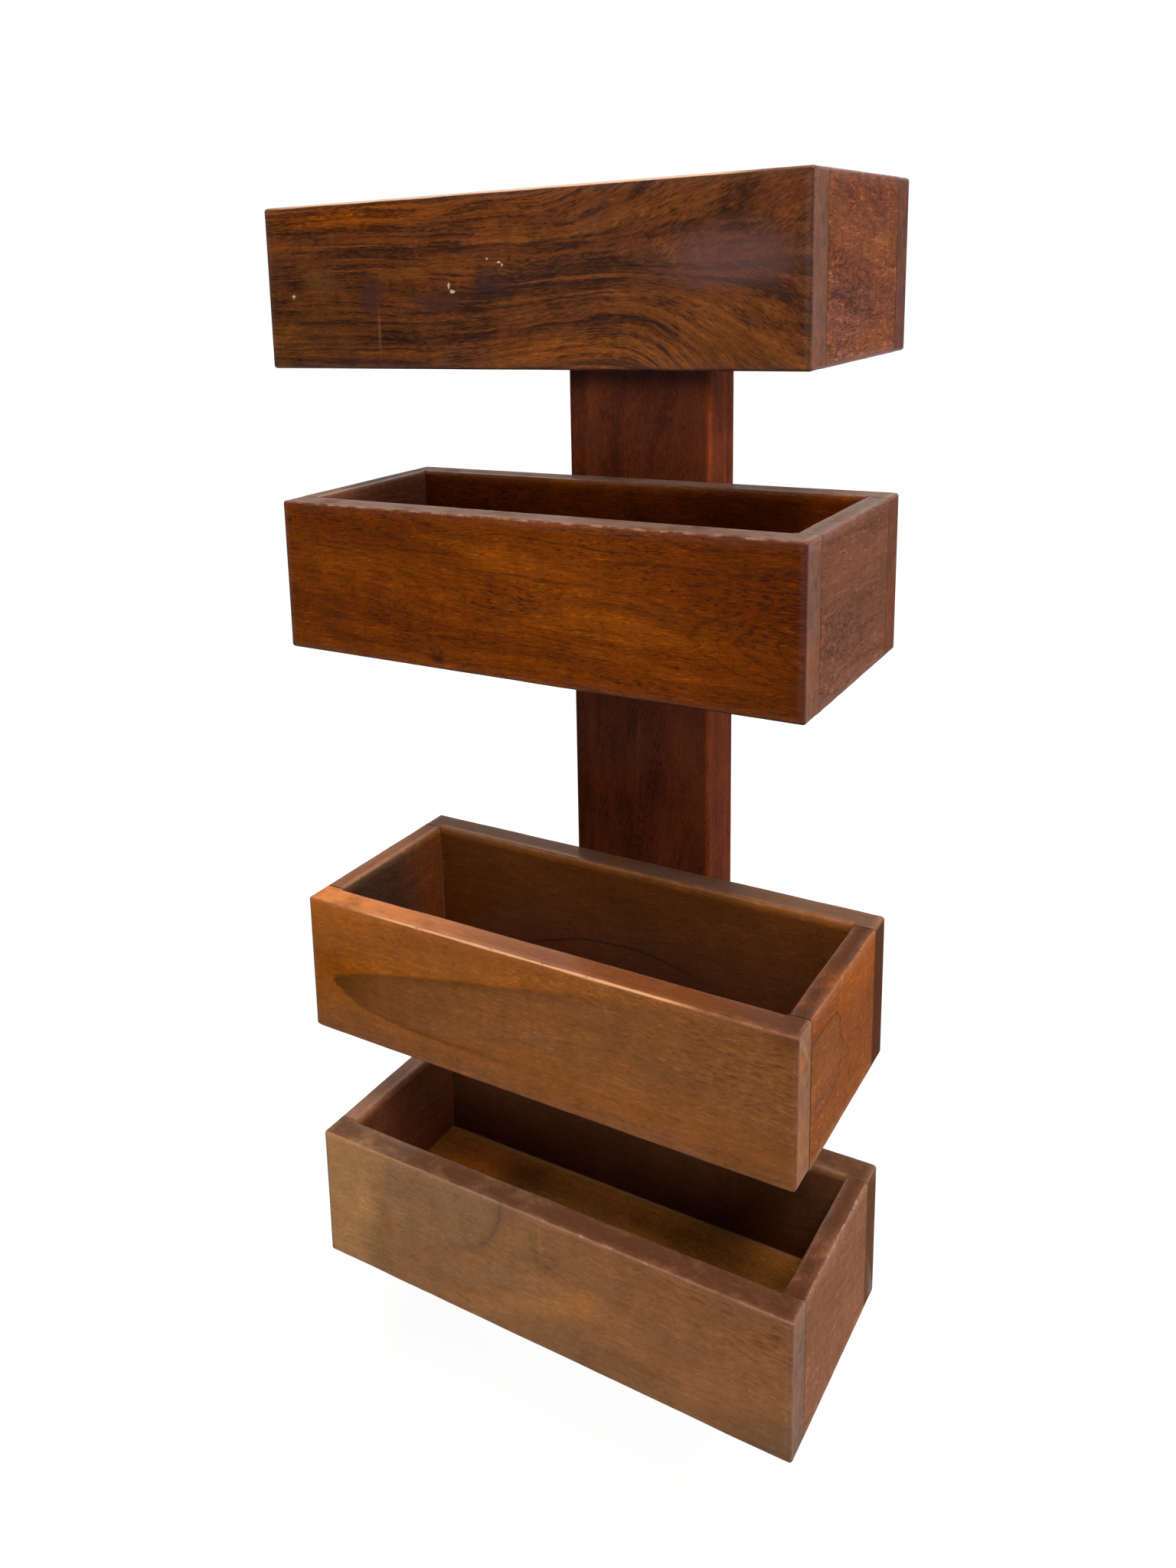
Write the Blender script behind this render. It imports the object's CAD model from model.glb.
"""Looks of a wall-hung wooden rack: boards with worn edges, solid-wood grain and a plain studio."""
import math

import bmesh
import bpy
from mathutils import Euler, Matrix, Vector, noise


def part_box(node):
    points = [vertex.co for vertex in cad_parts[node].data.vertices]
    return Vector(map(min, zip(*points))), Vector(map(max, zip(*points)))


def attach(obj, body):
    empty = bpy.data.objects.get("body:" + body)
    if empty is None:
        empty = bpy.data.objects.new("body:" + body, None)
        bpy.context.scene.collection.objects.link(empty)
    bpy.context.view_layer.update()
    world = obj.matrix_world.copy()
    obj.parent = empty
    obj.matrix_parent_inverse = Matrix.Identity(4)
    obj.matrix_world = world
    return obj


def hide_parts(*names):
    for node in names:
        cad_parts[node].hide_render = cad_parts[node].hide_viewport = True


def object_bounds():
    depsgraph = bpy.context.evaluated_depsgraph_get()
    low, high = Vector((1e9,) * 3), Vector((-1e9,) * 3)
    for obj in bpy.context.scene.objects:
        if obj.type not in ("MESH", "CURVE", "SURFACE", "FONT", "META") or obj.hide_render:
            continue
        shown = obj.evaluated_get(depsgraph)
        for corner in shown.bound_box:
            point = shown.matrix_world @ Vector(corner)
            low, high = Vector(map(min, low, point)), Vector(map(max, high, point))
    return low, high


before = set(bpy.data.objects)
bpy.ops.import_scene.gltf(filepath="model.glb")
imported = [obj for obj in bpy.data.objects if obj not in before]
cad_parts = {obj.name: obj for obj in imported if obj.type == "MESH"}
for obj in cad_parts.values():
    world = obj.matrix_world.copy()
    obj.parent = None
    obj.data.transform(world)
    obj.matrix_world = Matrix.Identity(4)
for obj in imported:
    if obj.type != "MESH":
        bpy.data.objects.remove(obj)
cad_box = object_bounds()

MM = 0.001
TIERS = ("top_frame", "upper_tray", "middle_frame", "lower_tray")
TRAYS = ("upper_tray", "lower_tray")


# Camera

CAMERA_PLACE = (0.3588, -0.7777, 0.2982)
CAMERA_TURN_DEG = (77.84, 2.18, 33.61)
CAMERA_LENS_MM = 30.35
CAMERA_SHIFT = (0.0859, -0.1413)


def make_camera():
    data = bpy.data.cameras.new("camera")
    data.lens = CAMERA_LENS_MM
    data.sensor_width = 36
    data.shift_x, data.shift_y = CAMERA_SHIFT
    data.clip_start, data.clip_end = 0.01, 100
    camera = bpy.data.objects.new("camera", data)
    camera.location = CAMERA_PLACE
    camera.rotation_euler = Euler([math.radians(a) for a in CAMERA_TURN_DEG])
    bpy.context.scene.collection.objects.link(camera)
    bpy.context.scene.camera = camera


# Board meshes

BOARD_R = 2.0 * MM
RUBBED_CORNER_R = 4.5 * MM
JOINT_R = 0.25 * MM
FLOOR_R = 0.4 * MM
LEAST_R = 0.02 * MM
STATION_STEP = 3.0 * MM
SIDE_STEP = 4.5 * MM
STOP_LENGTH = 0.4 * MM
ARC_STEPS = 5
SMOOTH_ANGLE_DEG = 40
ROUNDING = 1e-6

# Edges are rubbed and faces planed a little unevenly: how fast that changes per metre, and how much
SLOW_RUB, SLOW_RUB_SHARE = 28, 0.32
FAST_RUB, FAST_RUB_SHARE = 160, 0.12
SLOW_SWELL, FAST_SWELL = 22, 75
UNDULATION = 0.22 * MM

# Strength of the mark on an arc's ends and on a board's eased ends, where 1 is the middle of an arc
ARC_END_RUB = 0.35
END_RUB = 0.8
INNER_AT_TOP = 0.65


def inset(r, d):
    """How far a rounded edge of radius r has drawn a face in, at distance d from the edge."""
    return 0.0 if d >= r else r - math.sqrt(max(r * r - (r - d) ** 2, 0.0))


def end_depths(radius):
    """Distances from a board's end at which its outline is drawn, for its rounded end."""
    depths = {0.0, JOINT_R * 0.3, JOINT_R}
    for k in range(ARC_STEPS):
        depths.add(radius * (1 - math.sin(math.pi / 2 * k / ARC_STEPS)))
    return sorted(depths)


def spread(start, stop, step):
    """Evenly spaced values from start to stop, no further apart than step."""
    n = max(1, math.ceil((stop - start) / step))
    return [start + (stop - start) * k / n for k in range(n + 1)]


class Board:
    """A block whose outline is swept along one axis, with rounded, slightly worn edges.

    corner_r is the radius of the four long edges, which are numbered low-low, high-low, high-high,
    low-high in the two other axes. end_r gives how the two ends are eased on the low and high
    side of each of these axes. stops is the distance from each end up to which the edges named
    in stopped keep the joint's sharp radius. inner is the side that faces into the box.
    """

    def __init__(self, node, axis, corner_r, end_r, stops=0.0, stopped=(), inner=None, seed=0.0, wander=1.0):
        lo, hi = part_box(node)
        self.axis = axis
        self.a, self.b = (axis + 1) % 3, (axis + 2) % 3
        self.lo, self.hi = Vector(lo), Vector(hi)
        self.corner_r, self.end_r = corner_r, end_r
        self.stops, self.stopped, self.inner = stops, stopped, inner
        self.seed, self.wander = seed, wander

    def stations(self):
        """Places of the outlines along the axis, each with its distance from the nearer end."""
        low, high = self.lo[self.axis], self.hi[self.axis]
        depths = end_depths(max(*self.end_r, JOINT_R))
        marks = [low + d for d in depths] + [high - d for d in depths]
        inner = [low + depths[-1], high - depths[-1]]
        if self.stops:
            sharp = [self.stops, self.stops + STOP_LENGTH]
            inner = [inner[0], *[low + s for s in sharp], *[high - s for s in reversed(sharp)], inner[1]]
        for start, stop in zip(inner, inner[1:]):
            marks += spread(start, stop, STATION_STEP)
        marks = sorted(set(round(m, 7) for m in marks))
        return [(m, min(m - low, high - m)) for m in marks]

    def worn(self, k, place):
        """Radius of long edge k at a place, rubbed down unevenly by hand and use."""
        r = self.corner_r
        from_end = min(place - self.lo[self.axis], self.hi[self.axis] - place)
        if k in self.stopped and from_end <= self.stops + ROUNDING:
            return JOINT_R
        if r <= FLOOR_R:
            return r
        slow = noise.noise(Vector((place * SLOW_RUB, k * 7.3, self.seed)))
        fast = noise.noise(Vector((place * FAST_RUB, k * 3.1, self.seed + 9)))
        return r * (1 + SLOW_RUB_SHARE * slow * self.wander + FAST_RUB_SHARE * fast * self.wander)

    def outline(self, place, depth):
        """Points round the board at a place: two coordinates, wear, and the outward side."""
        eased = [inset(r, depth) for r in self.end_r]
        a0, a1 = self.lo[self.a] + eased[0], self.hi[self.a] - eased[1]
        b0, b1 = self.lo[self.b] + eased[2], self.hi[self.b] - eased[3]
        lost = [max(eased[i], eased[j]) for i, j in ((0, 2), (1, 2), (1, 3), (0, 3))]
        corners = ((a0, b0, 1, 1, 180), (a1, b0, -1, 1, 270), (a1, b1, -1, -1, 0), (a0, b1, 1, -1, 90))
        arcs = []
        for k, (a, b, in_a, in_b, turn) in enumerate(corners):
            r = max(self.worn(k, place) - lost[k], LEAST_R)
            centre_a, centre_b = a + in_a * r, b + in_b * r
            angles = [math.radians(turn + 90 * s / ARC_STEPS) for s in range(ARC_STEPS + 1)]
            arcs.append([(centre_a + r * math.cos(g), centre_b + r * math.sin(g)) for g in angles])
        sides = ((0, -1), (1, 0), (0, 1), (-1, 0))
        widths = [self.hi[i] - self.lo[i] for i in (self.a, self.b, self.a, self.b)]
        counts = [max(1, round(w / SIDE_STEP)) for w in widths]
        out = []
        for k in range(4):
            rounded = self.corner_r > FLOOR_R and not (k in self.stopped and depth <= self.stops)
            for s, (a, b) in enumerate(arcs[k]):
                middle = 1 - abs(2 * s / ARC_STEPS - 1)
                rub = ARC_END_RUB + (1 - ARC_END_RUB) * middle
                out.append((a, b, rub if rounded else 0.0, (0, 0)))
            start, stop = arcs[k][-1], arcs[(k + 1) % 4][0]
            for s in range(1, counts[k]):
                t = s / counts[k]
                a, b = (p + (q - p) * t for p, q in zip(start, stop))
                out.append((a, b, 0.0, sides[k]))
        return out

    def point(self, place, a, b):
        p = [0.0, 0.0, 0.0]
        p[self.axis], p[self.a], p[self.b] = place, a, b
        return Vector(p)

    def sunk(self, p, side):
        """A point on a face, moved in to where the uneven planing leaves it."""
        swell = noise.noise(p * SLOW_SWELL + Vector((self.seed, 0, 0)))
        ripple = noise.noise(p * FAST_SWELL + Vector((0, self.seed, 0)))
        sink = UNDULATION * self.wander * (0.5 + 0.4 * swell + 0.1 * ripple)
        return p - self.point(0, side[0], side[1]) * sink

    def build(self, name):
        """The board's piece, with the rubbed edges and the inner face marked on its vertices."""
        bm = bmesh.new()
        wear = bm.verts.layers.float.new("wear")
        inner = bm.verts.layers.float.new("inner")
        rings = []
        for place, depth in self.stations():
            ring = []
            for a, b, rub, side in self.outline(place, depth):
                p = self.point(place, a, b)
                if side != (0, 0):
                    p = self.sunk(p, side)
                v = bm.verts.new(p)
                end_rub = END_RUB if 0 < depth < BOARD_R and max(self.end_r) > JOINT_R else 0.0
                v[wear] = max(rub, end_rub)
                if side == self.inner and depth >= self.stops:
                    deep = (self.hi[2] - p[2]) / (self.hi[2] - self.lo[2])
                    v[inner] = INNER_AT_TOP + (1 - INNER_AT_TOP) * deep
                ring.append(v)
            rings.append(ring)
        add_skin(bm, rings)
        bmesh.ops.recalc_face_normals(bm, faces=bm.faces)
        piece = new_piece(name, bm)
        shade_smooth(piece)
        return piece


def add_skin(bm, rings):
    """Adds faces from ring to ring of points, and over the first and the last ring."""
    n = len(rings[0])
    for low, high in zip(rings, rings[1:]):
        for i in range(n):
            j = (i + 1) % n
            bm.faces.new((low[i], low[j], high[j], high[i]))
    bm.faces.new(list(reversed(rings[0])))
    bm.faces.new(rings[-1])


def new_piece(name, bm):
    """Turns a bmesh into an object of the scene."""
    mesh = bpy.data.meshes.new(name)
    bm.to_mesh(mesh)
    bm.free()
    piece = bpy.data.objects.new(name, mesh)
    bpy.context.scene.collection.objects.link(piece)
    return piece


def shade_smooth(piece):
    """Smooth shading with the sharper edges kept."""
    mesh = piece.data
    mesh.shade_smooth()
    bm = bmesh.new()
    bm.from_mesh(mesh)
    for e in bm.edges:
        if len(e.link_faces) == 2:
            e.smooth = e.calc_face_angle(0) < math.radians(SMOOTH_ANGLE_DEG)
    bm.to_mesh(mesh)
    bm.free()


# Joinery cut out of the boards

DOWEL_LENGTH = 32 * MM
DOWEL_PLAY = 0.1 * MM
DOWEL_END_PLAY = 0.5 * MM
SCREW_SHANK_R = 2.25 * MM
SCREW_HEAD_R = 4.5 * MM
SCREW_PLAY = 0.1 * MM
GROOVE_PLAY = 0.2 * MM
CUT = 1.0 * MM
ROUND_STEPS = 32


def add_bore(bm, x, z, r, start, stop):
    """Adds a closed cylinder that runs from front to back, between two depths."""
    angles = [2 * math.pi * k / ROUND_STEPS for k in range(ROUND_STEPS)]
    circle = [(x + r * math.sin(g), z + r * math.cos(g)) for g in angles]
    add_skin(bm, [[bm.verts.new((px, y, pz)) for px, pz in circle] for y in (start, stop)])


def add_block(bm, lo, hi):
    """Adds a closed box between two corners."""
    x, y, z = zip(lo, hi)
    corners = [bm.verts.new((x[i], y[j], z[k])) for k in (0, 1) for j in (0, 1) for i in (0, 1)]
    for face in ((0, 2, 3, 1), (4, 5, 7, 6), (0, 1, 5, 4), (2, 6, 7, 3), (0, 4, 6, 2), (1, 3, 7, 5)):
        bm.faces.new([corners[i] for i in face])


def cut_away(piece, bm):
    """Subtracts the closed solids in bm from a piece, for good."""
    bmesh.ops.recalc_face_normals(bm, faces=bm.faces)
    cutter = new_piece("cutter", bm)
    modifier = piece.modifiers.new("cut", "BOOLEAN")
    modifier.operation, modifier.solver, modifier.object = "DIFFERENCE", "EXACT", cutter
    evaluated = piece.evaluated_get(bpy.context.evaluated_depsgraph_get())
    mesh = bpy.data.meshes.new_from_object(evaluated)
    piece.modifiers.clear()
    old = piece.data
    piece.data = mesh
    bpy.data.meshes.remove(old)
    bpy.data.objects.remove(cutter)
    mesh.name = piece.name


def dowel_rows(tier):
    """The dowels' radius, heights and outer ends, read from the frame."""
    lo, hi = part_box(f"{tier}_dowels")
    left_lo, left_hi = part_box(f"{tier}_left")
    r = (left_lo[0] + left_hi[0]) / 2 - lo[0]
    return r, (lo[2] + r, hi[2] - r), lo[1], hi[1]


def dowel_spans(part, lo, hi, front_end, back_end):
    """Where the dowel holes in a board start and stop from front to back."""
    before, beyond = lo[1] - CUT, hi[1] + CUT
    if part == "front":
        return [(front_end - DOWEL_END_PLAY, beyond)]
    if part == "back":
        return [(before, back_end + DOWEL_END_PLAY)]
    front_stop = front_end + DOWEL_LENGTH + DOWEL_END_PLAY
    back_start = back_end - DOWEL_LENGTH - DOWEL_END_PLAY
    return [(before, front_stop), (back_start, beyond)]


def add_groove(bm, tier, part, lo, hi):
    """The floor panel's groove in a board, which is open towards the box's inside."""
    floor_lo, floor_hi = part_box(f"{tier}_floor")
    wide = part in ("front", "back")
    x0 = floor_lo[0] - GROOVE_PLAY if wide or part == "left" else lo[0] - CUT
    x1 = floor_hi[0] + GROOVE_PLAY if wide or part == "right" else hi[0] + CUT
    y0 = floor_lo[1] - GROOVE_PLAY if part == "front" else lo[1] - CUT
    y1 = floor_hi[1] + GROOVE_PLAY if part == "back" else hi[1] + CUT
    add_block(bm, (x0, y0, floor_lo[2]), (x1, y1, floor_hi[2] + GROOVE_PLAY))


def cut_joints(piece, tier, part):
    """Dowel holes in every board, a groove in a tray's boards and screw holes in a back board."""
    r, heights, front_end, back_end = dowel_rows(tier)
    lo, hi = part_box(piece["node"])
    across = (f"{tier}_left", f"{tier}_right") if part in ("front", "back") else (piece["node"],)
    bm = bmesh.new()
    for side_lo, side_hi in map(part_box, across):
        x = (side_lo[0] + side_hi[0]) / 2
        for z in heights:
            for start, stop in dowel_spans(part, lo, hi, front_end, back_end):
                add_bore(bm, x, z, r + DOWEL_PLAY, start, stop)
    if tier in TRAYS:
        add_groove(bm, tier, part, lo, hi)
    if part == "back":
        screws_lo, screws_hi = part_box(f"{tier}_screws")
        z = (screws_lo[2] + screws_hi[2]) / 2
        for x in (screws_lo[0] + SCREW_HEAD_R, screws_hi[0] - SCREW_HEAD_R):
            add_bore(bm, x, z, SCREW_SHANK_R + SCREW_PLAY, screws_lo[1] - SCREW_PLAY, hi[1] + CUT)
    cut_away(piece, bm)


# Pieces

def dress(piece, node, material):
    """Puts a piece in a node's place, on the rack's one body."""
    piece.data.materials.clear()
    piece.data.materials.append(material)
    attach(piece, "root")
    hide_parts(node)


# Each wall of a box: axis along the board, side that faces in, edges that stop at the joints, and seed
WALLS = {
    "front": (0, (1, 0), (1, 2), 0), "back": (0, (-1, 0), (0, 3), 5),
    "left": (1, (0, 1), (), 2), "right": (1, (0, -1), (), 8),
}
END_EASING = {
    "front": (BOARD_R, JOINT_R, BOARD_R, BOARD_R), "back": (JOINT_R, BOARD_R, BOARD_R, BOARD_R),
    "middle_frame_front": (BOARD_R, JOINT_R, RUBBED_CORNER_R, BOARD_R),
}


def make_boards():
    """The sixteen boards of the four boxes."""
    for i, tier in enumerate(TIERS):
        side_lo, side_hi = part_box(f"{tier}_left")
        for part, (axis, inner, stopped, seed) in WALLS.items():
            node = f"{tier}_{part}"
            easing = END_EASING.get(node) or END_EASING.get(part, (JOINT_R,) * 4)
            stops = side_hi[0] - side_lo[0] if stopped else 0.0
            seed += (23.1 if axis else 11.7) * i
            piece = Board(node, axis, BOARD_R, easing, stops, stopped, inner, seed).build(f"{node}_board")
            piece["node"] = node
            cut_joints(piece, tier, part)
            dress(piece, node, wood_material(node))


def make_floors():
    """The floor panels of the two trays."""
    for i, tier in enumerate(TRAYS):
        node = f"{tier}_floor"
        board = Board(node, 0, FLOOR_R, (FLOOR_R,) * 4, inner=(0, 1), seed=41.3 + i, wander=0.8)
        piece = board.build(f"{node}_panel")
        dress(piece, node, wood_material(node))


# Node trees

NOISE_SPREAD = 3.4


def arithmetic(operation):
    """An operator that adds a math node."""
    return lambda one, other: one.tree.math(operation, one, other)


class Value:
    """A node's output, on which arithmetic adds nodes to its tree."""

    __add__, __sub__ = arithmetic("ADD"), arithmetic("SUBTRACT")
    __mul__, __truediv__ = arithmetic("MULTIPLY"), arithmetic("DIVIDE")
    __pow__ = arithmetic("POWER")

    def __init__(self, tree, socket):
        self.tree, self.socket = tree, socket

    def __rsub__(self, other):
        return self.tree.math("SUBTRACT", other, self)

    def __abs__(self):
        return self.tree.math("ABSOLUTE", self)


class Tree:
    """Short names for building a node tree."""

    def __init__(self, tree):
        self.tree = tree

    def add(self, kind, **settings):
        node = self.tree.nodes.new(kind)
        for name, value in settings.items():
            setattr(node, name, value)
        return node

    def feed(self, socket, value):
        """Links a value to a socket, or sets a number, vector or colour on it."""
        if isinstance(value, Value):
            self.tree.links.new(value.socket, socket)
        else:
            socket.default_value = (*value, 1.0) if socket.type == "RGBA" else value

    def make(self, kind, *values, output=0, **settings):
        """Adds a node, feeds its first inputs in order and gives one of its outputs."""
        node = self.add(kind, **settings)
        for socket, value in zip(node.inputs, values):
            self.feed(socket, value)
        return Value(self, node.outputs[output])

    def outputs(self, node):
        """A node's outputs by name."""
        return {socket.name: Value(self, socket) for socket in node.outputs}

    def math(self, operation, *values):
        return self.make("ShaderNodeMath", *values, operation=operation)

    def vector(self, x, y, z):
        return self.make("ShaderNodeCombineXYZ", x, y, z)

    def split(self, vector):
        node = self.add("ShaderNodeSeparateXYZ")
        self.feed(node.inputs[0], vector)
        return [Value(self, socket) for socket in node.outputs]

    def attribute(self, name):
        return self.make("ShaderNodeAttribute", attribute_name=name, output="Fac")

    def place(self):
        """Place on the piece, in metres."""
        return self.make("ShaderNodeTexCoord", output="Object")

    def named(self, kind, inputs, output=0):
        """Adds a node, feeds the inputs that are named and gives one of its outputs."""
        node = self.add(kind)
        for name, value in inputs.items():
            self.feed(node.inputs[name], value)
        return Value(self, node.outputs[output])

    def noise(self, vector, scale=1.0, detail=2.0, roughness=0.5):
        """Noise centred on zero, roughly from -1 to 1."""
        given = {"Vector": vector, "Scale": scale, "Detail": detail, "Roughness": roughness}
        return self.named("ShaderNodeTexNoise", given, "Fac") * NOISE_SPREAD + -NOISE_SPREAD / 2

    def bump(self, height, strength, depth):
        return self.named("ShaderNodeBump", {"Height": height, "Strength": strength, "Distance": depth})

    def surface(self, kind, inputs, output="ShaderNodeOutputMaterial"):
        """Adds a shader with the given inputs and joins it to the tree's output."""
        self.feed(self.add(output).inputs["Surface"], self.named(kind, inputs))

    def step(self, value, low, high):
        """0 below low, 1 above high, and a smooth ramp between them."""
        return self.make("ShaderNodeMapRange", value, low, high, interpolation_type="SMOOTHSTEP")

    def near(self, value, width):
        """1 where a value is zero, fading out over a width on both sides."""
        return self.math("EXPONENT", abs(value) / -width)

    def mix(self, factor, a, b, blend="MIX"):
        node = self.add("ShaderNodeMix", data_type="RGBA", blend_type=blend)
        for k, value in ((0, factor), (6, a), (7, b)):
            self.feed(node.inputs[k], value)
        return Value(self, node.outputs[2])

    def stretched(self, values, factors, **settings):
        """Noise over three values, each times its own factor."""
        return self.noise(self.vector(*[v * f for v, f in zip(values, factors)]), **settings)

    def blend(self, factor, a, b):
        """A value between a and b."""
        return (b - a) * factor + a

    def spot(self, x, z, middle, size):
        """1 at a middle and fading out over a size, both given as (x, z)."""
        across = (x - middle[0]) / size[0]
        upward = (z - middle[1]) / size[1]
        return self.math("EXPONENT", (across * across + upward * upward) * -1.0)


class Paint:
    """A colour that is changed step by step in a tree."""

    def __init__(self, t, colour):
        self.t, self.colour = t, colour

    def over(self, amount, colour):
        """Lays another colour over it, fully where amount is 1."""
        self.colour = self.t.mix(amount, self.colour, colour)

    def times(self, factors):
        return self.t.mix(1.0, self.colour, factors, "MULTIPLY")

    def shade(self, amount):
        """Multiplies it by one plus amount."""
        factor = amount + 1.0
        self.colour = self.times(self.t.vector(factor, factor, factor))

    def tint(self, amount, factors):
        """Multiplies it by the factors, fully where amount is 1."""
        self.over(amount, self.times(factors))

    def spots(self, x, z, spots):
        """Tints it in soft oval spots, each given by its middle, size and factors."""
        for middle, size, factors in spots:
            self.tint(self.t.spot(x, z, middle, size), factors)


def new_material(name):
    """A material and its empty tree."""
    material = bpy.data.materials.new(name)
    material.use_nodes = True
    material.node_tree.nodes.clear()
    return material, Tree(material.node_tree)


# The wood

PLAIN_WOOD = dict(
    light=(0.3, 0.12, 0.04), mid=(0.2, 0.07, 0.02), dark=(0.06, 0.02, 0.01), haze=(0.1, 0.05, 0.03),
    pith_depth=60, pith_height=-20, tilt=0.05, wave=6, band=0.07, contrast=1.0,
    fan=0.0, fan_start=0, fan_stop=160, fan_lag=0, fan_height=0, fan_turn=0.5,
    streak=0.5, line=0.4, fibre=0.2, pore=0.6, crowd=0.0, fleck=0.2, mottle=0.12, haziness=0.3, haze_low=-0.1,
)


# A swell in the lower half of a fan of grain, in millimetres along the board and up it
SWELL_PLACE = 62.0
SWELL_REACH = 48.0
SWELL_RISE = 22.0
SWELL_DROP = 3.2


def wood_sockets(tree):
    """The wood group's inputs, which are a place and a board's settings, and its outputs."""
    settings = {name: "Color" if isinstance(value, tuple) else "Float" for name, value in PLAIN_WOOD.items()}
    made = {"colour": "Color", "height": "Float", "relief": "Float", "dull": "Float"}
    for way, sockets in (("INPUT", {"place": "Vector"} | settings), ("OUTPUT", made)):
        for name, kind in sockets.items():
            tree.interface.new_socket(name, in_out=way, socket_type=f"NodeSocket{kind}")


def bent_grain(t, given, place):
    """Height in the grain, which wanders and may fan out, whether above the fan's middle, and its opening."""
    x, y, z = place
    wander = t.stretched(place, (0.007, 0.02, 0.02), detail=1.5)
    quiver = t.stretched(place, (0.035, 0.05, 0.08))
    wave = given["wave"] * (quiver * 0.16 + wander)
    from_middle = z - given["fan_height"]
    upper = t.step(from_middle, -4.0, 6.0)
    late = (1.0 - upper) * given["fan_lag"]
    opening = t.step(x - late, given["fan_start"], given["fan_stop"])
    height = from_middle / (opening * given["fan"] + 1.0) + given["fan_height"]
    from_swell = (x - SWELL_PLACE) / SWELL_REACH
    swell = t.math("EXPONENT", from_swell * from_swell * -1.0)
    swell = swell * (t.step(from_middle, 0.0, -SWELL_RISE) * given["fan"])
    return swell * -SWELL_DROP + (height + wave), upper, opening


def short_strokes(t, given, place, height, upper, opening):
    """Short strokes that follow the grain, also where it fans out."""
    x, y, z = place

    def strokes(length, height):
        return t.stretched((length, y, height), (0.24, 1.2, 1.2), roughness=0.6)

    def turned(sign):
        cosine, sine = t.math("COSINE", given["fan_turn"]), t.math("SINE", given["fan_turn"]) * sign
        return strokes(x * cosine + z * sine, z * cosine - x * sine)

    fanned = t.step(opening, 0.05, 0.45) * t.step(given["fan"], 0.0, 0.5)
    return t.blend(fanned, strokes(x, height), t.blend(upper, turned(-1.0), turned(1.0)))


def wood_group():
    """Solid wood in millimetres with the grain along X: colour, height in the grain, relief and dullness."""
    tree = bpy.data.node_groups.new("wood", "ShaderNodeTree")
    wood_sockets(tree)
    t = Tree(tree)
    given = t.outputs(t.add("NodeGroupInput"))
    x, y, z = place = t.split(given["place"])
    height, upper, opening = bent_grain(t, given, place)
    in_grain = (x, y, height)

    # Growth rings round the pith
    from_pith = height - given["pith_height"]
    depth = y - given["pith_depth"] - x * given["tilt"]
    radius = t.math("SQRT", from_pith * from_pith + depth * depth)

    def rings(per_mm, along, detail, seed, roughness=0.55):
        return t.noise(t.vector(radius * per_mm, x * along, seed), detail=detail, roughness=roughness)

    broad = rings(given["band"], 0.004, 2.0, 1.3)
    narrow = rings(given["band"] * 4.0, 0.008, 3.0, 4.1, 0.6)
    contour = rings(given["band"] * 1.9, 0.006, 3.0, 11.9)
    thin = rings(0.8, 0.02, 2.0, 7.7)

    # From light to dark across the rings, with greyer patches and bright flecks
    tone = t.stretched(place, (0.011, 0.02, 0.022))
    blend = tone * 0.25 + (narrow * 0.35 + broad * 0.75)
    blend = blend * given["contrast"] * 0.5 + 0.42
    paint = Paint(t, t.mix(t.step(blend, 0.0, 0.62), given["light"], given["mid"]))
    cloud = t.stretched(in_grain, (0.016, 0.03, 0.045), detail=3, roughness=0.6)
    haze = t.step(cloud, given["haze_low"], given["haze_low"] + 0.9) * given["haziness"]
    paint.over(haze, given["haze"])
    bright = t.stretched(in_grain, (0.16, 0.7, 0.75), roughness=0.6)
    paint.shade(t.step(bright, 0.15, 0.8) * given["fleck"])
    streak = t.step(blend, 0.62, 1.05) * given["streak"]
    paint.over(streak, given["dark"])

    # Pores are dark dashes, which crowd into broken lines along the rings and where the wood is dark
    broken = t.stretched(in_grain, (0.025, 0.04, 0.06))
    edge = t.step(abs(contour), 0.45, 0.05) * (t.step(broken, -0.5, 0.5) * given["line"])
    paint.over(edge * 0.55, given["dark"])
    crowd = tone * 0.22 + ((blend - 0.45) * 0.5 + (edge * 0.7 + given["crowd"]))
    dashes = short_strokes(t, given, place, height, upper, opening)
    specks = t.stretched(in_grain, (0.45, 1.1, 1.3), detail=1)
    pore = t.math("MAXIMUM", t.step(dashes + crowd, 0.12, 0.82), t.step(specks, 0.25, 0.9) * 0.6)
    pore = pore * given["pore"]
    paint.over(pore, given["dark"])

    # Fibres and mottling
    fibre = t.stretched(in_grain, (0.06, 1.4, 1.4))
    curl = t.stretched(place, (0.09, 0.03, 0.05))
    grit = t.stretched(place, (0.3, 0.6, 0.5), detail=3, roughness=0.65)
    shading = (thin * 0.8 + fibre) * given["fibre"]
    shading = (curl * 0.6 + tone) * given["mottle"] + shading
    shading = grit * (given["mottle"] * 0.9) + shading
    paint.shade(t.math("MAXIMUM", shading, -0.75))

    made = {
        "colour": paint.colour, "height": height,
        "relief": curl * 0.5 + (fibre * 0.25 - pore * 1.2), "dull": grit * 0.5 + pore * 1.2,
    }
    out = t.add("NodeGroupOutput")
    for name, value in made.items():
        t.feed(out.inputs[name], value)


# Colours, pith, waviness and the strength of each part of the grain, where they aren't the plain wood's

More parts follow.
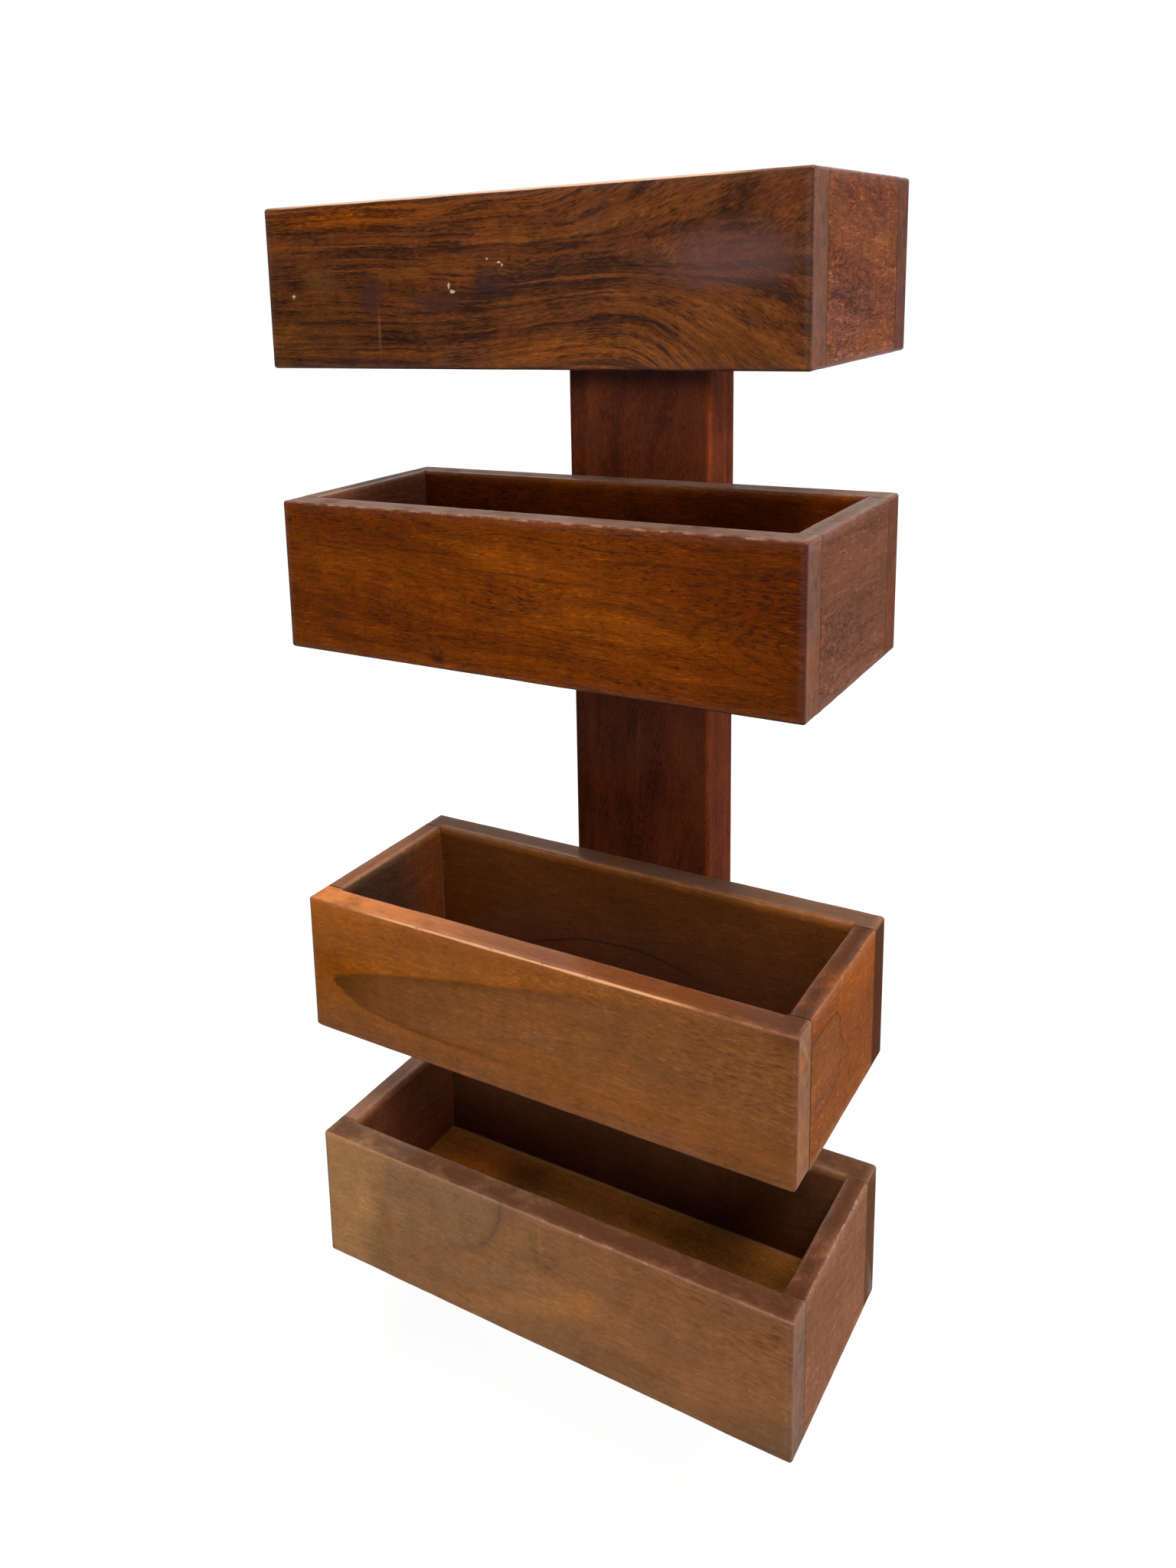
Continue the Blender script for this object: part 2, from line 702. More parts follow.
BOARD_LOOKS = {
    "top_frame_front": dict(
        light=(0.195, 0.058, 0.01), mid=(0.112, 0.032, 0.008), dark=(0.02, 0.008, 0.005),
        haze=(0.08, 0.031, 0.018), pith_depth=40, pith_height=-120, tilt=0.04, wave=5, band=0.13, fan=2.8,
        fan_start=10, fan_stop=170, fan_lag=55, fan_height=6, fan_turn=0.56, streak=0.4, line=0.9,
        fibre=0.3, pore=0.72, crowd=0.06, fleck=0.45, mottle=0.24, haziness=0.55,
    ),
    "top_frame_side": dict(
        light=(0.27, 0.085, 0.032), mid=(0.18, 0.052, 0.022), dark=(0.04, 0.012, 0.008),
        haze=(0.15, 0.058, 0.042), pith_depth=-90, pith_height=60, tilt=0.1, wave=8, streak=0.3, line=0.35,
        fibre=0.28, pore=0.7, fleck=0.9, mottle=0.34, haziness=0.6,
    ),
    "upper_tray_front": dict(
        light=(0.215, 0.05, 0.002), mid=(0.138, 0.027, 0.001), dark=(0.026, 0.006, 0.001),
        haze=(0.1, 0.023, 0.003), pith_depth=130, pith_height=70, tilt=-0.05, wave=7, band=0.08,
        contrast=1.1, streak=0.3, line=0.25, fibre=0.32, pore=0.8, crowd=-0.06, fleck=0.55, mottle=0.24,
        haziness=0.4,
    ),
    "upper_tray_side": dict(
        light=(0.22, 0.083, 0.042), mid=(0.165, 0.058, 0.03), dark=(0.06, 0.018, 0.01),
        haze=(0.155, 0.066, 0.044), pith_depth=120, pith_height=-90, tilt=0.06, band=0.06, contrast=0.9,
        streak=0.3, line=0.25, pore=0.75, fleck=0.6, mottle=0.22, haziness=0.5,
    ),
    "middle_frame_front": dict(
        light=(0.29, 0.095, 0.016), mid=(0.235, 0.08, 0.018), dark=(0.075, 0.028, 0.008),
        haze=(0.2, 0.08, 0.026), pith_depth=140, pith_height=90, tilt=0.03, wave=7, band=0.03, contrast=0.7,
        streak=0.2, line=0.1, fibre=0.15, pore=0.5, crowd=-0.1, fleck=0.35, mottle=0.19, haziness=0.5,
    ),
    "middle_frame_side": dict(
        light=(0.345, 0.106, 0.02), mid=(0.28, 0.083, 0.018), dark=(0.11, 0.03, 0.008),
        haze=(0.25, 0.085, 0.024), pith_height=-70, tilt=0.08, band=0.045, contrast=0.8, streak=0.2,
        line=0.2, fibre=0.16, fleck=0.6, mottle=0.22,
    ),
    "lower_tray_front": dict(
        light=(0.31, 0.146, 0.06), mid=(0.248, 0.111, 0.046), dark=(0.085, 0.036, 0.018),
        haze=(0.225, 0.118, 0.06), pith_depth=150, pith_height=90, tilt=0.04, wave=9, band=0.03,
        contrast=0.8, streak=0.2, line=0.15, fibre=0.12, pore=0.38, crowd=-0.1, fleck=0.25, mottle=0.18,
        haziness=0.5,
    ),
    "lower_tray_side": dict(
        light=(0.31, 0.128, 0.058), mid=(0.26, 0.102, 0.048), dark=(0.1, 0.036, 0.018),
        haze=(0.23, 0.103, 0.055), pith_depth=100, pith_height=-80, tilt=0.1, wave=8, band=0.05,
        contrast=0.6, streak=0.2, line=0.15, fibre=0.16, pore=0.5, fleck=0.5, mottle=0.2,
    ),
    "floor": dict(
        light=(0.38, 0.165, 0.034), mid=(0.26, 0.105, 0.022), dark=(0.06, 0.022, 0.006),
        haze=(0.2, 0.11, 0.034), pith_depth=30, pith_height=20, tilt=0.03, wave=8, band=0.06, contrast=0.8,
        streak=0.3, line=0.3, fibre=0.12, pore=0.5, fleck=0.4, mottle=0.25,
    ),
    "post": dict(
        light=(0.155, 0.036, 0.011), mid=(0.102, 0.022, 0.007), dark=(0.022, 0.006, 0.003),
        haze=(0.13, 0.038, 0.018), pith_depth=120, pith_height=60, tilt=0.02, wave=4, band=0.09, line=0.5,
        fibre=0.18, crowd=0.1, fleck=0.3, mottle=0.16,
    ),
}

# Along the grain, through the board and up it, for grain along each axis
GRAIN_ORDER = {"x": (0, 1, 2), "y": (1, 0, 2), "z": (2, 1, 0)}
SEAM = (0.018, 0.008, 0.005)
INSIDE = (0.42, 0.3, 0.24)
DARK_INSIDE = {
    "middle_frame_left": (0.3, 0.2, 0.2), "middle_frame_right": (0.3, 0.2, 0.2),
    "middle_frame_back": (0.185, 0.118, 0.1),
    "lower_tray_back": (0.14, 0.045, 0.025), "lower_tray_left": (0.24, 0.1, 0.05),
}
RIM_CHANGE = {
    "middle_frame_left": (1.15, 1.6, 2.1), "middle_frame_back": (0.84, 1.5, 2.85),
    "middle_frame_right": (0.3, 0.38, 0.5), "lower_tray_left": (3.5, 4.6, 5.6),
    "upper_tray_right": (0.83, 0.91, 0.87), "lower_tray_right": (0.8, 0.69, 0.57),
}

# A bright rubbed line along an upper arris: tint, start and stop in millimetres, and how broken it is
BRIGHT_ARRIS = {
    "top_frame_front": ((0.8, 0.52, 0.34), -165, 140, -1.2),
    "upper_tray_front": ((0.34, 0.17, 0.1), -165, 160, -0.1),
    "upper_tray_right": ((0.42, 0.24, 0.17), -60, 60, 0.2),
    "middle_frame_front": ((0.8, 0.4, 0.2), -130, 110, -0.8),
    "lower_tray_front": ((0.5, 0.22, 0.12), -15, 170, 0.3),
    "lower_tray_right": ((0.5, 0.24, 0.15), -60, 60, -0.1),
}

# By box: how much its seams show, and the colours of worn edges, rims, end grain and the back's end grain
SHADES = {
    "top_frame": (0.55, (0.36, 0.17, 0.1), (0.23, 0.12, 0.085), (0.21, 0.095, 0.065), (0.15, 0.06, 0.043)),
    "upper_tray": (
        0.45, (0.3, 0.13, 0.075), (0.235, 0.145, 0.112), (0.24, 0.11, 0.07), (0.16, 0.061, 0.037)
    ),
    "middle_frame": (
        0.9, (0.46, 0.18, 0.085), (0.2, 0.06, 0.022), (0.35, 0.16, 0.078), (0.058, 0.012, 0.006)
    ),
    "lower_tray": (
        0.5, (0.3, 0.15, 0.09), (0.09, 0.031, 0.016), (0.265, 0.145, 0.1), (0.105, 0.034, 0.01)
    ),
}

# How strongly the end grain, the rims, the rubbed edges and the bright lines show
END_SHOWS, RIM_SHOWS, RUBBED_SHOWS, LINE_SHOWS = 0.8, 0.85, 0.55, 0.8
DARK_ARRIS = (0.62, 0.52, 0.52)
SEAM_WIDTH = 1.0


def look_of(node):
    """A board's look and the direction of its grain."""
    if node == "post":
        return PLAIN_WOOD | BOARD_LOOKS["post"], "z"
    tier, part = node.rsplit("_", 1)
    if part in ("front", "back"):
        return PLAIN_WOOD | BOARD_LOOKS[f"{tier}_front"], "x"
    if part in ("left", "right"):
        return PLAIN_WOOD | BOARD_LOOKS[f"{tier}_side"], "y"
    return PLAIN_WOOD | BOARD_LOOKS["floor"], "x"


# Figures that one board alone has. Places on a board are in millimetres from its middle, as (along, up).

BARE_WOOD = (0.62, 0.46, 0.36)
RED_BLACK = (0.03, 0.008, 0.002)
LINE_EASE_IN, LINE_EASE_OUT = 18, 30


def grain_lines(t, paint, x, height, ragged, breaks, lines, strength, tint):
    """Long broken dark lines along the grain, each given by its level, start, stop and half width."""
    for level, start, stop, width in lines:
        off = abs(ragged * 1.3 + (height - level))
        line = 1.0 - t.step(off, 0.3 * width, 1.3 * width)
        line = line * t.step(x, start, start + LINE_EASE_IN) * t.step(x, stop, stop - LINE_EASE_OUT)
        line = line * t.step(breaks, -0.7, 0.3)
        paint.over(line * strength, tint)


def smoky_lines(t, paint, x, y, z, height):
    """Long dark lines in the grain, violet and yellowish patches, an orange top corner and a few chips."""
    ragged = t.stretched((x, y, z), (0.06, 0.1, 0.15), detail=3, roughness=0.6)
    breaks = t.stretched((x, y, height), (0.07, 0.1, 0.35))
    paint.spots(x, z, (
        ((-100, 40), (75, 14), (1.68, 1.27, 0.28)), ((-128, -24), (26, 18), (1.05, 1.15, 0.9)),
        ((40, -42), (40, 9), (1.5, 1.4, 1.0)), ((-95, -16), (80, 30), (0.66, 0.62, 0.64)),
    ))
    for middle, size in (((-86, -6), (9, 12)), ((-10, 0), (11, 9)), ((-42, -10), (20, 5))):
        patch = t.step(ragged * 0.22 + t.spot(x, z, middle, size), 0.25, 0.8)
        paint.over(patch * 0.6, (0.04, 0.017, 0.016))
    purple = ragged * 0.2 + t.spot(x, z, (122, 7), (34, 15))
    paint.over(t.step(purple, 0.1, 0.9) * 0.6, (0.115, 0.055, 0.05))
    yellow = ragged * 0.25 + t.spot(x, z, (-120, 3), (16, 9))
    paint.over(t.step(yellow, 0.3, 1.0) * 0.25, (0.18, 0.085, 0.024))

    lines = (
        (17, -165, 80, 1.3), (29, -165, -80, 0.9), (24, 10, 165, 1.2), (4, -60, 60, 0.8),
        (-3, -30, 90, 0.9), (-13, -75, 70, 1.0), (-19, -150, 10, 1.5), (-27, -80, 120, 1.1),
        (-33, -165, 0, 0.8), (-40, -150, -30, 2.0),
    )
    grain_lines(t, paint, x, height, ragged, breaks, lines, 0.72, (0.016, 0.007, 0.006))

    # A short scratch across the grain, and a few chips down to bare wood
    scratch = t.spot(x, z, (-81.5, -24), (0.7, 11))
    paint.over(scratch * 0.5, (0.22, 0.1, 0.045))
    rough = t.stretched((x, y, z), (0.9, 0.9, 0.9))
    face = t.step(y, -8.3, -8.8)
    chips = (
        ((-141, -4.5), (1.3, 1.2)), ((-33, -4.5), (2.2, 1.0)), ((-35, -1), (0.8, 2.0)),
        ((-11, 11.5), (0.7, 0.6)), ((-4, 9.5), (1.6, 0.7)), ((-2, 8.2), (0.6, 1.0)),
    )
    for middle, size in chips:
        chip = t.step(rough * 0.35 + t.spot(x, z, middle, size), 0.45, 0.75)
        paint.over(chip * (face * 0.8), BARE_WOOD)


def cathedral(t, paint, x, y, z, height):
    """An arch of grain opening to the right end, a small knot, a nail mark and a darker end."""
    ragged = t.stretched((x, y, z), (0.05, 0.1, 0.1))
    up = z + 8.0
    inside = ragged * 3.0 + (x - 92.0 - up * up * 0.11)
    arches = t.stretched((inside, x, z), (0.16, 0.0, 0.0), detail=3, roughness=0.6)
    arches = t.step(arches, -0.1, 0.5) * t.step(inside, -4.0, 3.0)
    paint.tint(arches * 0.8, (0.62, 0.55, 0.5))
    paint.tint(t.step(x, 148, 162), (0.75, 0.62, 0.8))
    paint.spots(x, z, (
        ((-130, -20), (90, 50), (0.74, 0.68, 0.85)), ((140, 0), (55, 60), (0.64, 0.57, 0.38)),
        ((50, 18), (60, 22), (1.18, 1.22, 1.3)),
    ))
    breaks = t.stretched((x, y, height), (0.09, 0.1, 0.5))
    lines = (
        (33, -45, 85, 0.7), (27, 40, 165, 1.0), (21, -145, -25, 0.9), (13, -45, 60, 0.8),
        (5, -25, 45, 0.7), (38, 85, 165, 0.9), (-10, 20, 80, 0.6), (-24, -65, 45, 0.6),
        (-33, -155, -85, 0.6), (17, -165, -100, 0.5),
    )
    grain_lines(t, paint, x, height, ragged, breaks, lines, 0.55, RED_BLACK)
    knot = ragged * 0.2 + t.spot(x, z, (-52, -39), (6, 3.2))
    paint.over(t.step(knot, 0.2, 0.9) * 0.7, RED_BLACK)
    paint.over(t.spot(x, z, (-155, 34), (1.4, 1.4)), (0.02, 0.006, 0.003))


def leaf(t, paint, x, y, z, height):
    """A brown leaf that opens to the right from a dark tip, in orange wood."""
    soft = t.stretched((x, y, z), (0.03, 0.05, 0.09), detail=3, roughness=0.6)
    wavy = soft * 1.6 + z
    along = t.math("MAXIMUM", x + 145.0, 0.01)
    top = (along / 77.0) ** 0.75 * 20.5 - 7.5 - wavy
    drop = 1.0 - t.math("EXPONENT", along / -22.0)
    low = wavy + (drop * 19.5 + 7.5)
    started = t.step(x, -146, -141)
    over = t.step(low / (along * 0.035 + 1.0), -1.0, 1.5)
    inside = t.step(top, -1.0, 2.0) * over * started

    # Warm wood outside with pale flecks above the leaf, and an orange strip along the bottom
    warm = (1.0 - inside) * t.step(x, 110, -40) * (t.step(z, -30, 0) * 0.8 + 0.2)
    paint.tint(warm * 0.8, (1.16, 1.04, 0.68))
    flecks = t.stretched((x, y, z), (0.16, 0.3, 0.45), roughness=0.6)
    above = t.step(top, 0.0, -3.0) * t.step(top, -20.0, -5.0) * t.step(x, -130, -100) * t.step(x, 100, 60)
    paint.tint(above * t.step(flecks, 0.15, 0.5), (1.32, 1.34, 1.3))
    paint.tint(inside * 0.8, (0.88, 0.94, 1.22))

    # Dark along the edges near the tip
    tip = t.math("EXPONENT", along / -42.0)
    top_edge = t.near(top, 4.0) * started * t.step(x, 90, -60)
    low_edge = t.near(low, 3.0) * started * t.step(x, 20, -90)
    dark = t.math("MAXIMUM", top_edge * 0.7, low_edge * 0.8)
    dark = dark * t.step(t.math("MINIMUM", top, low), -2.5, 0.5)
    dark = t.math("MAXIMUM", dark, inside * tip * 1.1)
    paint.over(t.math("MINIMUM", dark, 1.0) * 0.85, (0.075, 0.032, 0.008))
    paint.tint(t.step(z, -20, -42), (0.86, 0.88, 1.3))
    paint.spots(x, z, (
        ((-138, 0), (30, 16), (0.87, 0.74, 0.25)), ((165, -30), (70, 40), (0.86, 0.9, 1.0)),
    ))
    strokes = t.stretched((x, y, z), (0.14, 0.4, 0.6))
    rough = t.spot(x, z, (130, 22), (50, 26)) * t.step(strokes, 0.0, 0.6)
    paint.tint(rough, (0.68, 0.6, 0.6))
    paint.spots(x, z, (
        ((160, 46), (16, 12), (0.55, 0.48, 0.5)), ((-150, 46), (90, 22), (1.25, 1.15, 1.0)),
    ))


def dark_curve(t, paint, x, y, z, height):
    """A thin dark curve on the face that looks into the box."""
    soft = t.stretched((x, y, z), (0.04, 0.05, 0.05))
    along = x + 5.0
    off = abs(soft * 1.5 + (z + 10.0 + along * along * 0.0032))
    line = t.step(off, 1.3, 0.3) * t.step(x, -95, -60) * t.step(x, 80, 20) * t.step(y, -8.0, -8.8)
    paint.over(line * 0.55, (0.025, 0.009, 0.004))


def violet_inside(t, paint, x, y, z, height):
    """Grey-violet inside, with an orange glow towards the back corner."""
    inside = t.step(y, 5.5, 6.2)
    soft = t.stretched((x, y, z), (0.03, 0.05, 0.03))
    far = t.step(soft * 10.0 + x, -5, 45)
    paint.tint(inside * (1.0 - far), (0.36, 0.62, 1.6))
    paint.tint(inside * far, (0.9, 1.0, 1.1))
    paint.tint(inside * t.step(x, 53.5, 55.5), (1.9, 2.0, 2.2))


def tongue(t, paint, x, y, z, height):
    """A brown tongue with a dark outline, from the front end of the board."""
    soft = t.stretched((x, y, z), (0.06, 0.05, 0.09))
    along = t.math("MAXIMUM", (x + 36.0) / 33.0, 0.0)
    up = (z - 6.0) / 23.5
    shape = soft * 0.1 + (along ** 3.6 + up * up)
    shape = t.spot(x, z, (-3, 14), (9, 5)) * 0.55 + shape
    inside = t.step(shape, 1.08, 0.98)
    outline = t.near(shape - 1.02, 0.055) * t.step(z + x * 0.5, -50, -5)
    paint.tint(1.0 - inside, (0.95, 0.84, 0.67))
    paint.tint(inside * 0.8, (0.88, 0.92, 1.1))
    paint.spots(x, z, (
        ((22, 32), (32, 14), (1.28, 1.22, 0.7)), ((-40, -40), (60, 14), (0.95, 1.05, 1.35)),
    ))
    paint.over(outline * 0.85, (0.085, 0.024, 0.01))


def clouded(t, paint, x, y, z, height):
    """A tan left end, a grey-green disc with a dark rim, pale streaks and a redder right half."""
    soft = t.stretched((x, y, z), (0.02, 0.03, 0.035), detail=3, roughness=0.6)
    lined = t.stretched((x, y, z), (0.05, 0.1, 0.1), detail=3, roughness=0.6)
    border = soft * 8.0 + (x - (z * 0.25 + -119.0))
    paint.tint(t.step(border, 14.0, -13.0), (1.42, 1.54, 1.42))
    paint.tint(t.step(x, -20, 90), (0.93, 0.85, 0.8))

    # The disc and its rim, and a fainter ring outside it
    across, up = x + 75.0, z - 50.0
    away = soft * 5.0 + t.math("SQRT", across * across + up * up)
    right_side = t.step(border, -3.0, 6.0)
    paint.tint(t.step(away, 62, 50) * right_side * 0.8, (1.02, 1.12, 1.26))
    rim = t.near(away - 53.0, 3.0) * t.step(x + z, -90, -10)
    paint.tint(rim * 0.9, (0.55, 0.58, 0.62))
    paint.tint(t.near(away - 74.0, 7.0) * right_side * 0.5, (0.86, 0.97, 1.1))
    left_rim = t.near(border - 6.0, 5.0) * t.spot(x, z, (-120, 10), (20, 45))
    paint.tint(left_rim, (0.8, 0.84, 0.9))

    # Dark patch near the top, pale streaks rising to the right, and a dark lower corner
    patch = t.spot(x, z, (8, 17), (10, 7))
    paint.tint(patch * t.step(lined, -0.8, 0.6), (0.4, 0.42, 0.44))
    paint.tint(t.spot(x, z, (4, 32), (1.2, 13)), (1.22, 1.15, 1.1))
    slanted = z + 24.0 - (x + 20.0) * 0.42
    streak = t.math("EXPONENT", slanted * slanted * -0.02) * t.step(x, -75, -30) * t.step(x, 60, 20)
    paint.tint(streak * t.step(lined, -1.0, 0.6), (1.34, 1.27, 1.05))
    paint.spots(x, z, (
        ((28, -3), (26, 12), (1.12, 1.02, 0.85)), ((52, -32), (40, 10), (0.82, 0.88, 0.95)),
        ((160, -45), (34, 26), (0.62, 0.75, 0.95)),
    ))
    strokes = t.stretched((x, y, z), (0.11, 0.3, 0.45))
    rough = t.spot(x, z, (130, 30), (65, 26)) * t.step(strokes, 0.0, 0.7)
    paint.tint(rough, (0.68, 0.62, 0.6))


def glue_line(t, paint, x, y, z, height):
    """A pale line of filler along a floor panel's back edge, and a glow and a shade on its top."""
    grain = t.stretched((x, y, z), (0.08, 0.3, 0.3), detail=3, roughness=0.65)
    near_back = grain * 1.2 + (55.0 - y)
    top_face = t.step(z, 4.0, 5.0)
    line = t.step(near_back, 3.0, 0.8) * top_face
    glow = t.spot(x, y, (-112, 25), (30, 22)) * top_face
    shade = t.spot(x, y, (-70, 20), (26, 40)) * top_face
    paint.tint(glow, (1.9, 1.45, 1.0))
    paint.tint(shade, (0.5, 0.5, 0.6))
    paint.tint(t.step(near_back, 22.0, 4.0) * top_face, (1.6, 1.5, 1.5))
    paint.tint(t.step(grain, -0.4, 0.9) * 0.5, (1.3, 1.3, 1.1))
    paint.over(line * 0.6, (0.42, 0.25, 0.09))


FIGURES = {
    "top_frame_front": smoky_lines, "upper_tray_front": cathedral, "middle_frame_front": leaf,
    "middle_frame_back": dark_curve, "middle_frame_left": violet_inside, "middle_frame_right": tongue,
    "lower_tray_front": clouded, "lower_tray_floor": glue_line, "upper_tray_floor": glue_line,
}


def board_place(t, node, grain):
    """Place on a board in millimetres from its middle: along the grain, through it and up it."""
    lo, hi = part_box(node)
    centre = [(a + b) / 2 for a, b in zip(lo, hi)]
    seen = t.split(t.place())
    local = [(v - c) / MM for v, c in zip(seen, centre)]
    return t.vector(*[local[i] for i in GRAIN_ORDER[grain]])


def facing(t, axis):
    """How squarely the surface faces along an axis, either way round for x and y and upwards for z."""
    along = t.split(t.make("ShaderNodeNewGeometry", output="Normal"))["xyz".index(axis)]
    return along if axis == "z" else abs(along)


# Oiled wood: a dull face with a thin coat, which is thicker where hands have polished it

ROUGHNESS, ROUGHNESS_CHANGE, LEAST_ROUGHNESS = 0.45, 0.07, 0.25
RELIEF_STRENGTH, RELIEF_DEPTH = 0.55, 0.12 * MM
COAT, COAT_ON_TOPS, COAT_ON_EDGES, COAT_ROUGHNESS = 0.05, 0.06, 0.35, 0.18
POST_SIDE = (1.75, 1.45, 1.0)


def wood_material(node):
    """The material of one board or of the post, cut from its own place in the wood."""
    look, grain = look_of(node)
    material, t = new_material(f"{node}_wood")
    place = board_place(t, node, grain)

    # Boards other than a tier's front and right one are cut from elsewhere in the same wood
    seed = sum(ord(c) * (k + 3) for k, c in enumerate(node)) % 97
    main = node.endswith("_front") or node.endswith("_right")
    elsewhere = (0, 0, 0) if main else (seed * 7.0, seed * 0.3, seed * 0.45)
    shifted = t.make("ShaderNodeVectorMath", place, elsewhere, operation="ADD")

    group = t.add("ShaderNodeGroup", node_tree=bpy.data.node_groups["wood"])
    t.feed(group.inputs["place"], shifted)
    for name, value in look.items():
        t.feed(group.inputs[name], value)
    if not main:
        t.feed(group.inputs["fan"], 0.0)
    wood = t.outputs(group)
    paint = Paint(t, wood["colour"])
    if node in FIGURES:
        FIGURES[node](t, paint, *t.split(place), wood["height"])
    if node == "post":
        paint.tint(t.step(facing(t, "x"), 0.2, 0.9), POST_SIDE)
    else:
        box_shades(t, paint, node, place, grain)

    bump = t.bump(wood["relief"], RELIEF_STRENGTH, RELIEF_DEPTH)
    upward = t.step(facing(t, "z"), 0.5, 0.95)
    t.surface("ShaderNodeBsdfPrincipled", {
        "Base Color": paint.colour, "Normal": bump, "Coat Normal": bump,
        "Roughness": t.math("MAXIMUM", wood["dull"] * ROUGHNESS_CHANGE + ROUGHNESS, LEAST_ROUGHNESS),
        "Coat Weight": upward * COAT_ON_TOPS + (t.attribute("wear") * COAT_ON_EDGES + COAT),
        "Coat Roughness": COAT_ROUGHNESS, "Specular IOR Level": 0.0,
    })
    return material


def end_grain(t, tier, colour, place, scuff, spotty):
    """The colour of a board's sawn ends."""
    paint = Paint(t, colour)
    paint.shade(scuff * 0.34 + spotty)
    blotches = t.noise(place, scale=0.026 + 0.007 * TIERS.index(tier))
    paint.tint(t.step(blotches, 0.1, 0.7), (1.15, 0.92, 0.72))
    paint.tint(t.step(blotches, -0.1, -0.7), (0.84, 0.95, 1.12))
    return paint.colour


def rim_wood(t, node, colour, x, uneven):
    """The colour of a board's dry upper edge."""
    paint = Paint(t, colour)
    paint.shade(uneven)
    if node == "middle_frame_front":
        paint.tint(t.step(x, 10, -150), (3.5, 3.8, 2.7))
        paint.tint(t.step(x, 80, 150), (0.55, 0.65, 0.85))
    if node in RIM_CHANGE:
        paint.tint(1.0, RIM_CHANGE[node])
    return paint.colour


def bright_line(t, node, part, x, y, broken):
    """Where the bright rubbed line along a board's upper outer arris shows, and its tint."""
    tint, start, stop, gaps = BRIGHT_ARRIS[node]
    up = facing(t, "z")
    line = t.step(up, 0.35, 0.6) * t.step(up, 1.0, 0.86)
    line = line * (t.step(y, -4.0, -5.0) if part == "front" else t.step(y, 4.0, 5.0))
    line = line * t.step(x, start, start + 40) * t.step(x, stop, stop - 30)
    return line * t.step(broken, gaps, gaps + 0.5), tint


def box_shades(t, paint, node, place, grain):
    """What a box's boards share: darker insides, end grain, dry rims, rubbed edges and dark seams."""
    tier, part = node.rsplit("_", 1)
    paint.tint(t.attribute("inner"), DARK_INSIDE.get(node, INSIDE))
    if part == "floor":
        return
    seam_shows, worn_edge, rim_colour, end_colour, back_end_colour = SHADES[tier]
    if part == "back":
        end_colour = back_end_colour
    x, y, z = t.split(place)
    dots = t.noise(place, scale=1.1, roughness=0.6)
    patches = t.noise(place, scale=0.06, detail=3, roughness=0.65)
    scratches = t.stretched((x, y, z), (0.05, 1.0, 1.0), detail=3, roughness=0.65)
    scuff = t.noise(place, scale=0.16, detail=4, roughness=0.65)
    spotty = dots * 0.2 + patches * 0.2
    end = t.step(facing(t, grain), 0.6, 0.95)
    paint.over(end * END_SHOWS, end_grain(t, tier, end_colour, place, scuff, spotty))
    rim = t.step(facing(t, "z"), 0.75, 0.98) * t.step(patches, -1.2, 0.3)
    paint.over(rim * RIM_SHOWS, rim_wood(t, node, rim_colour, x, scratches * 0.3 + spotty))

    wear = t.attribute("wear")
    upward = t.step(facing(t, "z"), 0.15, 0.75)
    rubbed = wear * upward * t.step(scuff, -0.7, 0.8)
    paint.over(rubbed * RUBBED_SHOWS, worn_edge)
    arris = t.step(wear, 0.4, 1.0) * (1.0 - upward)
    paint.tint(arris * t.step(scuff, -0.9, 0.4), DARK_ARRIS)
    if node in BRIGHT_ARRIS:
        line, line_tint = bright_line(t, node, part, x, y, scratches * 0.5 + scuff)
        paint.over(line * LINE_SHOWS, line_tint)
    if part in ("left", "right"):
        lo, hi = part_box(node)
        half = (hi[1] - lo[1]) / 2 / MM
        seam = t.step(abs(x), half - 1.5 * SEAM_WIDTH, half - 0.5 * SEAM_WIDTH)
        paint.over(seam * seam_shows, SEAM)


# Metal and dowels

SPOTS_PER_M = 180
FINE_STRENGTH, FINE_DEPTH = 0.3, 0.03 * MM


def plain_material(name, colour, metallic, roughness, grain_mm, change=0.15):
    """Fine directional grain over one colour, for plated steel and plain dowels."""
    material, t = new_material(name)
    place = t.place()
    fine = t.stretched(t.split(place), [1 / (MM * g) for g in grain_mm], detail=3, roughness=0.6)
    spots = t.noise(place, scale=SPOTS_PER_M, detail=3)
    paint = Paint(t, colour)
    paint.shade((spots * 0.6 + fine) * change)
    t.surface("ShaderNodeBsdfPrincipled", {
        "Base Color": paint.colour, "Metallic": metallic,
        "Roughness": fine * 0.06 + roughness, "Normal": t.bump(fine, FINE_STRENGTH, FINE_DEPTH),
    })
    return material


def dress_cad():
    """Materials for the frame's own pieces that are right as they are."""
    dowel = plain_material("dowel_wood", (0.42, 0.27, 0.14), 0.0, 0.6, grain_mm=(0.4, 4.0, 0.4), change=0.22)
    screw = plain_material("screw_zinc", (0.58, 0.57, 0.53), 1.0, 0.32, grain_mm=(0.3, 1.0, 0.3))
    plate = plain_material("plate_zinc", (0.5, 0.5, 0.5), 1.0, 0.36, grain_mm=(0.3, 0.3, 3.0))
    looks = {f"{tier}_dowels": dowel for tier in TIERS}
    looks.update({f"{tier}_screws": screw for tier in TIERS})
    looks["hanger_plate_screws"] = screw
    looks["upper_hanger_plate"] = looks["lower_hanger_plate"] = plate
    looks["post"] = wood_material("post")
    for node, material in looks.items():
        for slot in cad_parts[node].material_slots:
            slot.material = material


# Studio

